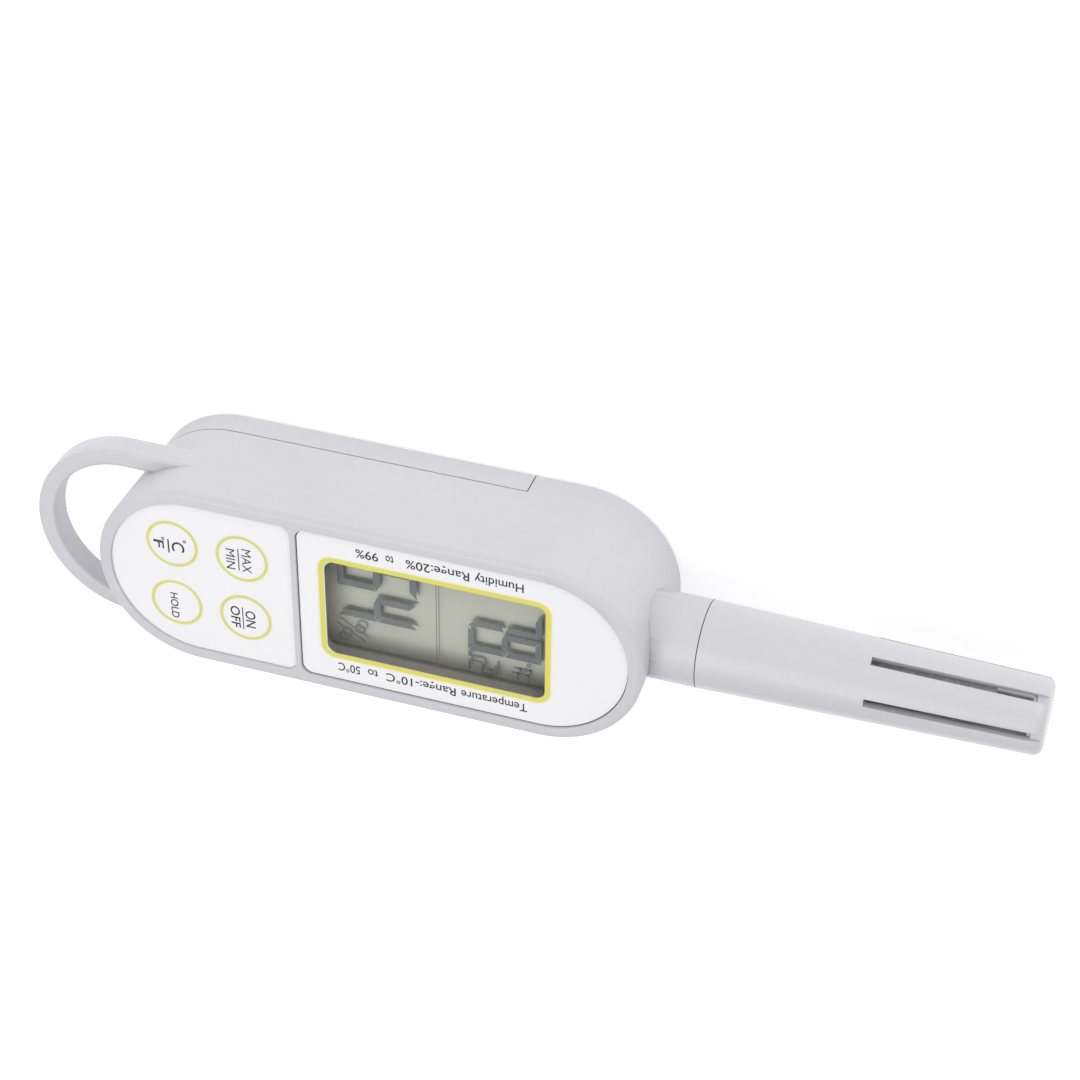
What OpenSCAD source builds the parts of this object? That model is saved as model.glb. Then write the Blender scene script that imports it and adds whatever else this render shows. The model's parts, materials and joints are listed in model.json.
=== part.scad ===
// Handheld thermo-hygrometer with a slotted probe on its end.
// X runs to the probe tip, Z up through the display, Z = 0 is the back it lies on.
// The origin is the middle of the body's back face.

/* [Body] */
// width of the body across the rim
body_width = 44; // [43:0.5:48]
// length of the body without loop and probe
body_length = 119.7; // [118:0.5:126]
// depth of the body from back face to rim
body_depth = 31.2; // [30.6:0.2:34]
// how much narrower each side is at the back than at the rim
side_draft = 0.58; // [0.2:0.02:0.9]
// thickness of the outer walls
wall = 2; // [1.8:0.1:2.2]
// depth of the battery cover's side wall with its seam
cover_depth = 6.8; // [6.6:0.1:7]
// length of the battery cover from the loop end to its cross seam
cover_length = 87.2; // [86:0.2:90]

/* [Front] */
// step from the rim down to the overlay and lens
rim_step = 0.6; // [0.4:0.1:0.8]
// flat width of the rim beside the overlay
rim_width = 2.98; // [2.6:0.02:3.1]
// distance from the loop end to the middle of the rib between keys and display
rib_from_end = 44.8; // [44:0.05:46]
// width of that rib
rib_width = 1.2; // [1:0.1:1.4]
// thickness of the key overlay
overlay_thick = 0.5; // [0.3:0.1:0.7]
// thickness of the display lens
lens_thick = 1.2; // [1:0.1:1.3]
// gap all round the lens
lens_gap = 0.2; // [0.08:0.01:0.24]

/* [Display] */
// length of the clear window
window_length = 47.8; // [44:0.2:48.2]
// width of the clear window
window_width = 24.2; // [22:0.2:24.6]
// distance from the rib to the middle of the window
window_from_rib = 30.45; // [29.9:0.05:31]
// depth of the liquid crystal glass below the lens face
glass_depth = 4.5; // [4.3:0.1:4.9]

/* [Keys] */
// distance from the loop end to the outer key pair
key_outer_from_end = 17.35; // [17:0.05:18]
// distance between the outer and the inner key pair
key_pitch = 15.7; // [15:0.05:16]
// distance of each key from the middle line
key_y = 7.8; // [7.6:0.1:8.2]
// radius of a key cap
key_radius = 4.9; // [4.4:0.1:5]
// how far a key moves when pressed
key_travel = 0.35; // [0.25:0.05:0.4]

/* [Hanging loop] */
// how far the loop's outer side lies inside the body's widest line
loop_inset = 0.5; // [0.4:0.05:1]
// thickness of the loop band
loop_band = 3.9; // [3.2:0.1:4.5]
// height of the loop band front to back
loop_height = 6; // [5:0.2:7]
// distance between the centres of the loop's and the body's round ends
loop_reach = 19.25; // [16:0.05:24]
// height of the loop's middle plane
loop_z = 18.5; // [17:0.1:19.5]
// radius of the loop band's rounded edges
loop_edge_r = 0.7; // [0.4:0.1:1]

/* [Probe] */
// height of the probe axis
probe_z = 16.5; // [16:0.1:16.8]
// length of the collar between the body and the twisting sleeve
collar_length = 9.15; // [8:0.05:12]
// length of the twisting sleeve
sleeve_length = 70; // [64:0.5:76]
// sleeve radius at its seam
sleeve_root_r = 9.26; // [9:0.02:9.5]
// sleeve radius at its tip
sleeve_tip_r = 7.96; // [7.8:0.02:8.4]
// thickness of the sleeve's wall at the tip
sleeve_wall = 1.26; // [1.1:0.02:1.5]
// width of each air slot
slot_width = 1.85; // [1.5:0.05:2.1]
// length of the sleeve before its air slots
slot_from_seam = 34.3; // [30:0.1:40]
// angle of the first slot from straight up
slot_turn = 5; // [0:1:10]

/* [Hidden] */
$fn = 96;

eps = 0.01;
far = 200;
half_width = body_width / 2;
end_x = body_length / 2;
arc_x = end_x - half_width;
back_r = half_width - side_draft;
rim_fillet = 1.3;
back_fillet = 1;
cavity_r = half_width - wall - side_draft;
cover_seam_x = cover_length - end_x;
rib_x = rib_from_end - end_x;
window_x = rib_x + window_from_rib;
pocket_r = half_width - rim_width;
face_z = body_depth - rim_step;
plate_low_z = face_z - 3;
seat_overlay_z = face_z - overlay_thick;
mask_thick = 0.2;
mask_low_z = face_z - mask_thick;
seat_lens_z = mask_low_z - lens_thick;
fit_gap = 0.08;
leg_short = 2;
seam_gap = 0.25;
corner_r = 2.3;
window_corner_r = 2.3;

// display stack, from the glass down
glass_top_z = face_z - glass_depth;
glass_thick = 1.8;
glass_low_z = glass_top_z - glass_thick;
glass_length = window_length + 5.2;
glass_width = window_width + 4.6;
well_margin = 1.7;
seal_wall = 0.45;
seal_gap = 0.05;
reflector_thick = 0.2;
strip_width = 2;
board_top_z = glass_low_z - 2.8;
board_thick = 1.2;
board_low_z = board_top_z - board_thick;
board_gap = 0.8;
frame_wall = 2;
glass_fit = 0.1;
strip_inset = 0.4;
reflector_gap = 0.2;
strip_short = 3;

// battery bay
cell_r = 5.15;
cell_body = 43.3;
cell_nub = 1;
cell_nub_r = 1.9;
cell_y = 5.9;
cell_z = 7.9;
contact_thick = 0.4;
contact_side = 8;
tab_wide = 1.6;
tab_fit = 0.2;
spring_wire_r = 0.35;
spring_room = 4.9;
bay_end_x = cover_seam_x - 4.9;
bay_start_x = bay_end_x - cell_body - cell_nub - spring_room - 2 * contact_thick;
bay_y = 11.6;
bay_wall = 1.3;
bay_top_z = 13.5;
bay_low_z = 2.6;
tray_low_z = cover_depth + 0.4;
tray_thick = 1.6;
tray_r = cavity_r - 0.1;
tray_end_x = cover_seam_x - 1.6;

// fixing points
boss_r = 2.6;
boss_bite = 0.4;
screw_r = 1;
screw_fit = 0.02;
screw_free_r = 1.15;
head_r = 1.9;
head_thick = 1.3;
cross_long = 2;
cross_wide = 0.4;
cross_deep = 0.7;
tray_bite = 5;
board_bite = 4.6;
hole_spare = 0.6;
end_boss_ring = cavity_r - boss_r - 0.6;
end_boss_turn = 30;
left_boss = [-arc_x - end_boss_ring * cos(end_boss_turn), end_boss_ring * sin(end_boss_turn)];
mid_boss = [rib_x - 1.65, bay_y + bay_wall + boss_r - boss_bite];
right_boss = [end_x - 12.35, 8];
boss_points = [left_boss, [left_boss[0], -left_boss[1]], mid_boss, [mid_boss[0], -mid_boss[1]]];
end_points = [right_boss, [right_boss[0], -right_boss[1]]];

// keys
key_outer_x = key_outer_from_end - end_x;
key_inner_x = key_outer_x + key_pitch;
key_points = [[key_outer_x, key_y], [key_outer_x, -key_y], [key_inner_x, key_y],
    [key_inner_x, -key_y]];
key_flange_r = key_radius + 0.5;
key_flange_thick = 1;
key_post_r = 1.6;
switch_side = 6;
switch_high = 3.4;
switch_bore_r = key_post_r + fit_gap;
switch_floor = 0.6;
disc_thick = 0.2;
dome_high = 0.5;
dome_top_r = 0.7;
disc_r = switch_bore_r - 0.03;
dome_base_r = switch_bore_r - 0.2;
press_spare = 0.05;
flange_gap = 0.3;
key_post_low_z = board_top_z + switch_floor + disc_thick + dome_high + key_travel + press_spare;

// probe
seam_x = 0.2;
sleeve_start_x = end_x + collar_length;
tip_x = sleeve_start_x + seam_x + sleeve_length;
slot_start_x = sleeve_start_x + seam_x + slot_from_seam;
sleeve_bore_r = sleeve_tip_r - sleeve_wall;
neck_r = 8;
neck_fit = 0.02;
sleeve_fit = 0.06;
tube_r = sleeve_bore_r - sleeve_fit;
rib_inner_r = tube_r - 1;
window_half = 22;
shutter_pitch = 60;
slot_end_x = tip_x - 2.6;
groove_depth = 0.8;
tip_fillet = 1.9;
cage_end_x = slot_end_x - 0.1;
cage_cap = 0.6;
window_start_x = slot_start_x - 1;
window_end_x = cage_end_x - cage_cap - 0.05;
bead_x = sleeve_start_x + 5;
bead_long = 1.2;
bead_high = 0.4;
ring_x = bead_x + 6.9;
ring_section_r = 0.37;
ring_seat_r = tube_r - 2 * ring_section_r + 0.01;
wire_r = 0.35;
nut_end_x = end_x - 5.85;
nut_start_x = nut_end_x - 2.5;
nut_r = 10;
nut_seat_r = 11;
nut_seat_long = 4;
nut_notch_wide = 2;
nut_notch_deep = 0.8;
board_neck_x = nut_start_x - 0.7;
strip_half = rib_inner_r - 1.24;
strip_thick = 1;
strip_fit = 0.02;
strip_top_z = probe_z + strip_thick / 2;
strip_start_x = nut_end_x + 1;
strip_end_x = slot_start_x + 24.9;
plug_start_x = end_x + 0.15;
plug_end_x = plug_start_x + 4;

// outline of a round-ended body in plan
module oval(r, ax) {
    translate([ax, 0]) circle(r);
    translate([-ax, 0]) circle(r);
    square([2 * ax, 2 * r], center = true);
}

// half section of the body: draft on the side, rounded rim and back edge
module side_section() {
    polygon([[0, 0], [back_r - back_fillet, 0], [back_r - back_fillet, back_fillet],
        [back_r, back_fillet], [half_width, body_depth - rim_fillet],
        [half_width - rim_fillet, body_depth - rim_fillet],
        [half_width - rim_fillet, body_depth], [0, body_depth]]);
    translate([back_r - back_fillet, back_fillet]) intersection() {
        circle(back_fillet);
        translate([0, -2 * back_fillet]) square(2 * back_fillet);
    }
    translate([half_width - rim_fillet, body_depth - rim_fillet]) intersection() {
        circle(rim_fillet);
        square(2 * rim_fillet);
    }
}

module body_outer() {
    translate([arc_x, 0, 0]) rotate([0, 0, -90]) rotate_extrude(angle = 180) side_section();
    translate([-arc_x, 0, 0]) rotate([0, 0, 90]) rotate_extrude(angle = 180) side_section();
    translate([-arc_x, 0, 0]) rotate([90, 0, 90]) linear_extrude(2 * arc_x) {
        side_section();
        mirror([1, 0]) side_section();
    }
}

module body_cavity(low, high) {
    translate([0, 0, low]) linear_extrude(high - low) oval(cavity_r, arc_x);
}

// plate outline: round at one end, small corners at the flat end
module round_end_plate(r, cx, flat_x) {
    side = sign(cx - flat_x);
    inner_x = flat_x + side * corner_r;
    intersection() {
        translate([cx, 0]) circle(r);
        translate([side > 0 ? cx - 1 : cx + 1 - far, -far / 2]) square(far);
    }
    translate([min(cx, inner_x), -r]) square([abs(cx - inner_x), 2 * r]);
    translate([min(flat_x, inner_x), -r + corner_r]) square([corner_r, 2 * (r - corner_r)]);
    for (s = [-1, 1]) translate([inner_x, s * (r - corner_r)]) circle(corner_r);
}

module window_shape(grow) {
    long = window_length / 2 + grow - window_corner_r;
    high = window_width / 2 + grow - window_corner_r;
    translate([window_x, 0]) {
        square([2 * long, 2 * (high + window_corner_r)], center = true);
        square([2 * (long + window_corner_r), 2 * high], center = true);
        for (sx = [-1, 1], sy = [-1, 1])
            translate([sx * long, sy * high]) circle(window_corner_r);
    }
}

module rod_x(r, x0, x1, y = 0, z = probe_z) {
    translate([x0, y, z]) rotate([0, 90, 0]) cylinder(r = r, h = x1 - x0);
}

// space kept for the battery cover
module cover_zone(gap) {
    translate([-far, -far / 2, -eps])
        cube([far + cover_seam_x - gap, far, cover_depth - gap + eps]);
}

module front_plate_cuts() {
    left_flat = rib_x - rib_width / 2;
    right_flat = rib_x + rib_width / 2;
    translate([0, 0, seat_overlay_z])
        linear_extrude(far) round_end_plate(pocket_r, -arc_x, left_flat);
    translate([0, 0, seat_lens_z])
        linear_extrude(far) round_end_plate(pocket_r, arc_x, right_flat);
    translate([0, 0, plate_low_z - eps]) linear_extrude(far)
        window_shape(well_margin + seal_wall + seal_gap);
    for (p = key_points)
        translate([p[0], p[1], plate_low_z - eps]) cylinder(r = key_radius + fit_gap, h = far);
}

module housing_boss(p) {
    translate([p[0], p[1], board_top_z]) cylinder(r = boss_r, h = plate_low_z - board_top_z + eps);
}

module main_housing() {
    color([0.87, 0.87, 0.88]) difference() {
        union() {
            difference() {
                body_outer();
                body_cavity(wall, plate_low_z);
                cover_zone(0);
            }
            for (p = boss_points) housing_boss(p);
            for (p = end_points) housing_boss(p);
            // flat seat inside the end wall for the probe nut
            intersection() {
                body_outer();
                rod_x(nut_seat_r, nut_end_x, nut_end_x + nut_seat_long);
            }
        }
        front_plate_cuts();
        for (p = boss_points)
            translate([p[0], p[1], board_top_z - eps]) cylinder(r = screw_r, h = tray_bite + hole_spare);
        for (p = end_points)
            translate([p[0], p[1], board_top_z - eps]) cylinder(r = screw_r, h = board_bite + hole_spare);
        rod_x(neck_r + neck_fit, nut_end_x - 1, far);
    }
}

// section of the loop band about its own middle
module loop_section() {
    flat_wide = loop_band - 2 * loop_edge_r;
    flat_high = loop_height - 2 * loop_edge_r;
    square([loop_band, flat_high], center = true);
    square([flat_wide, loop_height], center = true);
    for (sx = [-1, 1], sy = [-1, 1])
        translate([sx * flat_wide / 2, sy * flat_high / 2]) circle(loop_edge_r);
}

// carrying loop, its legs ending on the body's round sides
module hanging_loop() {
    // the straight legs stop just before the body's straight sides begin
    loop_x = -arc_x - loop_reach;
    band_r = half_width - loop_inset - loop_band / 2;
    leg_length = loop_reach - leg_short;
    color([0.87, 0.87, 0.88]) difference() {
        translate([loop_x, 0, loop_z]) {
            rotate([0, 0, 90]) rotate_extrude(angle = 180) translate([band_r, 0]) loop_section();
            for (s = [-1, 1]) translate([0, s * band_r, 0]) rotate([90, 0, 90])
                linear_extrude(leg_length) loop_section();
        }
        body_outer();
    }
}

module battery_cover() {
    tongue_y = 15.6;
    tongue_wide = 4;
    root_long = 6;
    root_thick = 1.7;
    hook_back = 3;
    hook_long = 6.4;
    hook_gap = 0.3;
    hook_thick = 1.3;
    grip_from_end = 9.85;
    grip_pitch = 3;
    grip_size = [1.2, 16, 0.5];
    color([0.85, 0.85, 0.87]) difference() {
        union() {
            difference() {
                intersection() {
                    body_outer();
                    cover_zone(seam_gap);
                }
                body_cavity(wall, far);
            }
            // tongues that slip behind the fixed part of the back
            for (s = [-1, 1]) translate([cover_seam_x, s * tongue_y - tongue_wide / 2, wall]) {
                translate([-root_long, 0, -eps])
                    cube([root_long - seam_gap, tongue_wide, root_thick]);
                translate([-hook_back, 0, hook_gap]) cube([hook_long, tongue_wide, hook_thick]);
            }
        }
        // thumb grip
        for (i = [0:4]) translate([grip_from_end - end_x + grip_pitch * i, -grip_size[1] / 2, -eps])
            cube(grip_size);
    }
}

module key_overlay() {
    left_flat = rib_x - rib_width / 2;
    color([0.95, 0.95, 0.96]) translate([0, 0, seat_overlay_z])
        linear_extrude(overlay_thick) difference() {
            round_end_plate(pocket_r - 0.05, -arc_x, left_flat - 0.05);
            for (p = key_points) translate(p) circle(key_radius + fit_gap);
        }
}

module key_shape(p) {
    flange_top_z = plate_low_z - flange_gap;
    color([0.93, 0.93, 0.94]) translate([p[0], p[1], 0]) {
        translate([0, 0, flange_top_z - eps])
            cylinder(r = key_radius, h = face_z - flange_top_z + eps);
        translate([0, 0, flange_top_z - key_flange_thick])
            cylinder(r = key_flange_r, h = key_flange_thick);
        translate([0, 0, key_post_low_z])
            cylinder(r = key_post_r, h = flange_top_z - key_post_low_z);
    }
}

module key_unit() {
    key_shape(key_points[0]);
}

module key_hold() {
    key_shape(key_points[1]);
}

module key_max_min() {
    key_shape(key_points[2]);
}

module key_power() {
    key_shape(key_points[3]);
}

module display_lens() {
    right_flat = rib_x + rib_width / 2 + lens_gap;
    color([0.9, 0.93, 0.93, 0.4]) translate([0, 0, seat_lens_z])
        linear_extrude(lens_thick) round_end_plate(pocket_r - lens_gap, arc_x, right_flat);
}

module lens_mask() {
    right_flat = rib_x + rib_width / 2 + lens_gap;
    color([0.96, 0.96, 0.97]) translate([0, 0, mask_low_z])
        linear_extrude(mask_thick) difference() {
            round_end_plate(pocket_r - lens_gap, arc_x, right_flat);
            window_shape(0);
        }
}

module lcd_glass() {
    color([0.66, 0.67, 0.62])
        translate([window_x - glass_length / 2, -glass_width / 2, glass_low_z])
            cube([glass_length, glass_width, glass_thick]);
}

module lcd_reflector() {
    long = window_length;
    wide = glass_width - 2 * (strip_width + strip_inset + reflector_gap);
    color([0.75, 0.76, 0.7])
        translate([window_x - long / 2, -wide / 2, glass_low_z - reflector_thick])
            cube([long, wide, reflector_thick]);
}

// grey carrier of the glass, with a collar that lines the window's well up to the lens
module lcd_frame() {
    long = glass_length + 2 * (frame_wall + glass_fit);
    wide = glass_width + 2 * (frame_wall + glass_fit);
    color([0.45, 0.44, 0.41]) difference() {
        union() {
            translate([window_x - long / 2, -wide / 2, board_top_z])
                cube([long, wide, plate_low_z - board_top_z]);
            translate([0, 0, plate_low_z - eps])
                linear_extrude(seat_lens_z - seal_gap - plate_low_z + eps)
                    window_shape(well_margin + seal_wall);
        }
        translate([window_x - glass_length / 2 - glass_fit, -glass_width / 2 - glass_fit,
            board_top_z - eps])
            cube([glass_length + 2 * glass_fit, glass_width + 2 * glass_fit,
                glass_top_z - board_top_z + eps]);
        translate([0, 0, board_top_z]) linear_extrude(far) window_shape(well_margin);
    }
}

module zebra_strips() {
    long = window_length - 2 * strip_short;
    middle_y = glass_width / 2 - strip_inset - strip_width / 2;
    color([0.9, 0.55, 0.6]) for (s = [-1, 1])
        translate([window_x - long / 2, s * middle_y - strip_width / 2, board_top_z])
            cube([long, strip_width, glass_low_z - board_top_z]);
}

module board_outline() {
    left_r = cavity_r - board_gap;
    body_end = arc_x + 6;
    side_y = left_r - 0.6;
    neck_y = 11;
    translate([-arc_x, 0]) circle(left_r);
    translate([-arc_x, -side_y]) square([body_end + arc_x, 2 * side_y]);
    translate([body_end - eps, -neck_y]) square([board_neck_x - body_end + eps, 2 * neck_y]);
}

module main_board() {
    color([0.1, 0.4, 0.22]) translate([0, 0, board_low_z]) linear_extrude(board_thick)
        difference() {
            board_outline();
            for (p = boss_points) translate(p) circle(screw_free_r);
            for (p = end_points) translate(p) circle(screw_free_r);
        }
}

module switch_bodies() {
    color([0.12, 0.12, 0.13]) for (p = key_points) translate([p[0], p[1], board_top_z])
        difference() {
            translate([-switch_side / 2, -switch_side / 2, 0])
                cube([switch_side, switch_side, switch_high]);
            translate([0, 0, switch_floor]) cylinder(r = switch_bore_r, h = switch_high);
        }
}

module switch_domes() {
    color([0.8, 0.8, 0.78]) for (p = key_points)
        translate([p[0], p[1], board_top_z + switch_floor]) {
            cylinder(r = disc_r, h = disc_thick);
            translate([0, 0, disc_thick]) cylinder(r1 = dome_base_r, r2 = dome_top_r, h = dome_high);
        }
}

module chip_blob() {
    ball_r = 18;
    rise = 1.5;
    base_r = 7;
    color([0.08, 0.08, 0.09]) translate([window_x - 9.4, 0, board_low_z]) intersection() {
        translate([0, 0, ball_r - rise]) sphere(ball_r);
        translate([0, 0, -rise]) cylinder(r = base_r, h = rise);
    }
}

module clock_crystal() {
    can_r = 1;
    can_long = 6.2;
    can_x = window_x - 27.4;
    can_y = 14.6;
    color([0.75, 0.75, 0.77]) rod_x(can_r, can_x, can_x + can_long, can_y, board_low_z - can_r);
}

module smoothing_capacitor() {
    can_r = 2.5;
    can_high = 4.4;
    base_side = 5.4;
    base_thick = 1;
    can_x = cover_seam_x + 5.6;
    can_y = -8;
    color([0.2, 0.22, 0.3]) translate([can_x, can_y, board_low_z - base_thick]) {
        translate([0, 0, -can_high]) cylinder(r = can_r, h = can_high);
        translate([-base_side / 2, -base_side / 2, 0]) cube([base_side, base_side, base_thick]);
    }
}

module small_resistors() {
    size = [1, 2, 0.5];
    pitch = 2.4;
    first_x = cover_seam_x + 2.6;
    first_y = 4;
    color([0.15, 0.15, 0.16]) for (i = [0:5])
        translate([first_x + pitch * i, first_y, board_low_z - size[2]]) cube(size);
}

module screw_up(p, low, shank) {
    color([0.7, 0.7, 0.72]) translate([p[0], p[1], low]) difference() {
        union() {
            translate([0, 0, -head_thick]) cylinder(r = head_r, h = head_thick);
            cylinder(r = screw_r - screw_fit, h = shank);
        }
        for (a = [0, 90]) rotate([0, 0, a])
            translate([-cross_long / 2, -cross_wide / 2, -head_thick - eps])
                cube([cross_long, cross_wide, cross_deep]);
    }
}

module board_screws() {
    for (p = end_points) screw_up(p, board_low_z, board_thick + board_bite);
}

module tray_screws() {
    for (p = boss_points) screw_up(p, tray_low_z, board_top_z + tray_bite - tray_low_z);
}

module battery_tray() {
    box_x0 = bay_start_x - bay_wall;
    box_x1 = bay_end_x + bay_wall;
    box_y = bay_y + bay_wall;
    color([0.25, 0.26, 0.28]) difference() {
        union() {
            intersection() {
                translate([0, 0, tray_low_z]) linear_extrude(tray_thick) oval(tray_r, arc_x);
                translate([-far, -far / 2, 0]) cube([far + tray_end_x, far, far]);
            }
            translate([box_x0, -box_y, bay_low_z])
                cube([box_x1 - box_x0, 2 * box_y, bay_top_z + bay_wall - bay_low_z]);
            for (p = boss_points) translate([p[0], p[1], tray_low_z])
                cylinder(r = boss_r - 0.1, h = board_low_z - tray_low_z);
        }
        translate([bay_start_x, -bay_y, -eps])
            cube([bay_end_x - bay_start_x, 2 * bay_y, bay_top_z + eps]);
        for (p = boss_points) translate([p[0], p[1], 0]) cylinder(r = screw_free_r, h = far);
        // slits for the two soldered tabs
        for (s = [-1, 1])
            translate([bay_end_x - 2 * contact_thick, s * cell_y - tab_wide / 2 - tab_fit,
                bay_top_z - eps])
                cube([2 * contact_thick, tab_wide + 2 * tab_fit, far]);
    }
}

// four turns of wire on a thin cone, so each end rests flat
module cell_spring() {
    turns = 4;
    first_r = 4;
    shrink = 0.5;
    web = 0.2;
    step = spring_room / turns;
    last_r = first_r - shrink * (turns - 1);
    color([0.75, 0.75, 0.77]) rotate([0, 90, 0]) rotate_extrude() {
        for (i = [0:turns - 1])
            translate([first_r - shrink * i, step * (i + 0.5)]) circle(spring_wire_r);
        for (i = [0:turns - 2])
            translate([first_r - shrink * (i + 1) - web / 2, step * (i + 0.5)])
                square([shrink, step]);
        translate([first_r - web / 2, 0]) square([web, step / 2]);
        translate([last_r - web / 2, step * (turns - 0.5)]) square([web, step / 2]);
    }
}

module contact_springs() {
    translate([bay_start_x + contact_thick, cell_y, cell_z]) cell_spring();
    translate([bay_end_x - contact_thick, -cell_y, cell_z]) mirror([1, 0, 0]) cell_spring();
}

module contact_plates() {
    low = cell_z - contact_side / 2;
    color([0.75, 0.75, 0.77]) {
        for (s = [-1, 1]) {
            translate([bay_end_x - contact_thick, s * cell_y - contact_side / 2, low])
                cube([contact_thick, contact_side, contact_side]);
            translate([bay_end_x - contact_thick, s * cell_y - tab_wide / 2,
                low + contact_side - eps])
                cube([contact_thick, tab_wide, board_low_z - low - contact_side + eps]);
        }
        translate([bay_start_x, -cell_y - contact_side / 2, low])
            cube([contact_thick, 2 * cell_y + contact_side, contact_side]);
    }
}

module cell_shape() {
    rotate([0, 90, 0]) cylinder(r = cell_r, h = cell_body);
    translate([cell_body - eps, 0, 0]) rotate([0, 90, 0]) cylinder(r = cell_nub_r, h = cell_nub + eps);
}

module batteries() {
    long = cell_body + cell_nub;
    color([0.2, 0.3, 0.5]) {
        translate([bay_end_x - contact_thick - long, cell_y, cell_z]) cell_shape();
        translate([bay_start_x + contact_thick + long, -cell_y, cell_z])
            mirror([1, 0, 0]) cell_shape();
    }
}

// opening between two ribs of the shutter cage, seen along the probe
module cage_window() {
    inner = rib_inner_r / 2;
    outer = tube_r + 2;
    side = [cos(window_half), sin(window_half)];
    polygon([[inner * side[0], -inner * side[1]], [outer * side[0], -outer * side[1]],
        [outer + 1, 0], outer * side, inner * side]);
}

// collar, threaded neck and the shutter cage inside the sleeve
module probe_tube() {
    color([0.84, 0.84, 0.86]) difference() {
        union() {
            difference() {
                rod_x(sleeve_root_r, arc_x, sleeve_start_x);
                body_outer();
            }
            rod_x(neck_r, nut_start_x, sleeve_start_x - eps);
            rod_x(tube_r, sleeve_start_x - eps, cage_end_x);
            rod_x(tube_r + bead_high, bead_x, bead_x + bead_long);
        }
        rod_x(rib_inner_r, nut_start_x - 1, plug_start_x);
        rod_x(rib_inner_r, plug_end_x, cage_end_x - cage_cap);
        translate([plug_start_x - 1, -strip_half - strip_fit, probe_z - strip_thick / 2 - strip_fit])
            cube([plug_end_x - plug_start_x + 2, 2 * (strip_half + strip_fit),
                strip_thick + 2 * strip_fit]);
        // groove for the friction ring
        difference() {
            rod_x(tube_r + 1, ring_x - 0.9, ring_x + 0.9);
            rod_x(ring_seat_r, ring_x - 1, ring_x + 1);
        }
        for (i = [0:5]) translate([window_start_x, 0, probe_z])
            rotate([-slot_turn - shutter_pitch * i, 0, 0]) rotate([0, 90, 0])
                rotate([0, 0, 180]) linear_extrude(window_end_x - window_start_x) cage_window();
    }
}

module tube_nut() {
    color([0.3, 0.31, 0.33]) difference() {
        rod_x(nut_r, nut_start_x, nut_end_x);
        rod_x(neck_r, nut_start_x - 1, nut_end_x + 1);
        for (a = [0:60:300]) translate([nut_start_x - eps, 0, probe_z]) rotate([a, 0, 0])
            translate([0, -nut_notch_wide / 2, nut_r - nut_notch_deep])
                cube([nut_end_x - nut_start_x + 1, nut_notch_wide, 2 * nut_notch_deep]);
    }
}

module friction_ring() {
    color([0.1, 0.1, 0.1]) translate([ring_x, 0, probe_z]) rotate([0, 90, 0])
        rotate_extrude() translate([ring_seat_r + ring_section_r, 0]) circle(ring_section_r);
}

module sensor_board() {
    color([0.12, 0.42, 0.25])
        translate([strip_start_x, -strip_half, probe_z - strip_thick / 2])
            cube([strip_end_x - strip_start_x, 2 * strip_half, strip_thick]);
}

module humidity_sensor() {
    size = [7.5, 6, 2.2];
    vent = [0.8, 4, 2];
    vent_deep = 1;
    color([0.92, 0.92, 0.9]) translate([slot_start_x + 15.5, -size[1] / 2, strip_top_z])
        difference() {
            cube(size);
            for (i = [0:3]) translate([1.2 + 1.4 * i, (size[1] - vent[1]) / 2, size[2] - vent_deep])
                cube(vent);
        }
}

module thermistor() {
    bead_r = 0.9;
    lead_r = 0.18;
    lead_long = 3.5;
    lead_x = slot_start_x + 6.5;
    color([0.1, 0.1, 0.1]) {
        translate([lead_x + lead_long, 0, strip_top_z + bead_r]) sphere(bead_r);
        for (s = [-1, 1])
            rod_x(lead_r, lead_x, lead_x + lead_long, s * 0.4, strip_top_z + lead_r + 0.02);
    }
}

// four leads from the sensor strip up to the main board
module sensor_leads() {
    bend = 1.4;
    lead_z = strip_top_z + wire_r;
    up_x = board_neck_x - 2.2;
    color([0.8, 0.15, 0.12]) for (y = [-3:2:3]) {
        rod_x(wire_r, up_x + bend, plug_start_x - 1.5, y, lead_z);
        translate([up_x + bend, y, lead_z + bend]) rotate([90, 0, 0]) rotate([0, 0, 180])
            rotate_extrude(angle = 90) translate([bend, 0]) circle(wire_r);
        translate([up_x, y, lead_z + bend]) cylinder(r = wire_r, h = board_low_z - lead_z - bend);
    }
}

// twisting sleeve: turned by half a slot pitch it shuts the air slots
module probe_sleeve() {
    start_x = sleeve_start_x + seam_x;
    long = tip_x - start_x;
    color([0.88, 0.88, 0.89]) difference() {
        translate([start_x, 0, probe_z]) rotate([0, 90, 0]) rotate_extrude() {
            polygon([[sleeve_bore_r, 0], [sleeve_root_r, 0],
                [sleeve_tip_r, long - tip_fillet], [sleeve_tip_r - tip_fillet, long - tip_fillet],
                [sleeve_tip_r - tip_fillet, long], [0, long], [0, slot_end_x - start_x],
                [sleeve_bore_r, slot_end_x - start_x]]);
            translate([sleeve_tip_r - tip_fillet, long - tip_fillet]) intersection() {
                circle(tip_fillet);
                square(2 * tip_fillet);
            }
        }
        rod_x(tube_r + bead_high + sleeve_fit, bead_x - 0.1, bead_x + bead_long + 0.1);
        for (i = [0:5]) translate([0, 0, probe_z])
            rotate([-slot_turn - shutter_pitch * i, 0, 0]) {
                translate([slot_start_x, -slot_width / 2, 4])
                    cube([slot_end_x - slot_start_x, slot_width, far]);
                translate([slot_start_x, -slot_width / 2, sleeve_tip_r - groove_depth])
                    cube([far, slot_width, far]);
            }
    }
}

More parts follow.
